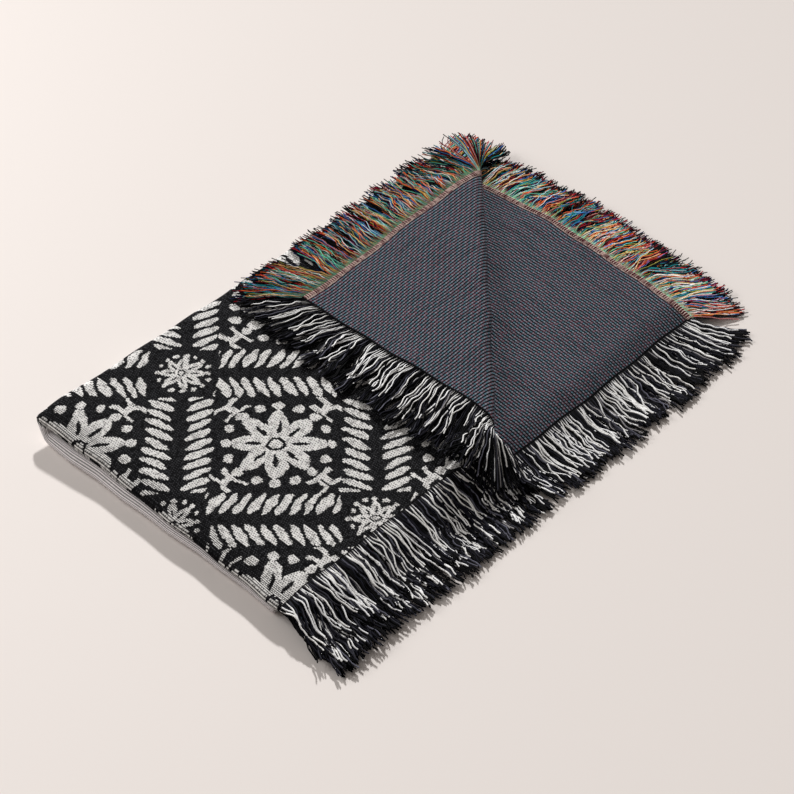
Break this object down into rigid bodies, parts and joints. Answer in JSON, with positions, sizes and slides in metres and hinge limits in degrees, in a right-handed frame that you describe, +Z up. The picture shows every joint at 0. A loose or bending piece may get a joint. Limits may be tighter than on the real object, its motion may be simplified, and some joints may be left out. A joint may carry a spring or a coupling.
{
  "type": "folded woven throw blanket",
  "caption": "Woven throw blanket with fringe on every side, folded flat to a rectangle with one corner of its top layer turned back.",
  "frame": {"origin": "on the floor under the middle of the folded rectangle, on the flat underside of the lowest layer", "axes": "+X along the longest side towards the open side with the coloured fringe, +Y towards the folded back, +Z up through the layers, the shortest way"},
  "size_m": [0.7335, 0.4867, 0.0488],
  "materials": {
    "cloth": "flat-woven cotton, black and off-white on its face and slate blue on its reverse",
    "fringe_coloured": "loose twisted cotton yarn in mixed teal, rust, red, navy, mustard and black",
    "fringe_black_white": "loose twisted cotton yarn in black and off-white"
  },
  "bodies": {
    "root": {"cloth": "cloth", "fringe_side_outer": "fringe_coloured", "fringe_side_inner": "fringe_coloured", "fringe_front_outer": "fringe_black_white", "fringe_front_inner": "fringe_black_white"}
  },
  "joints": []
}
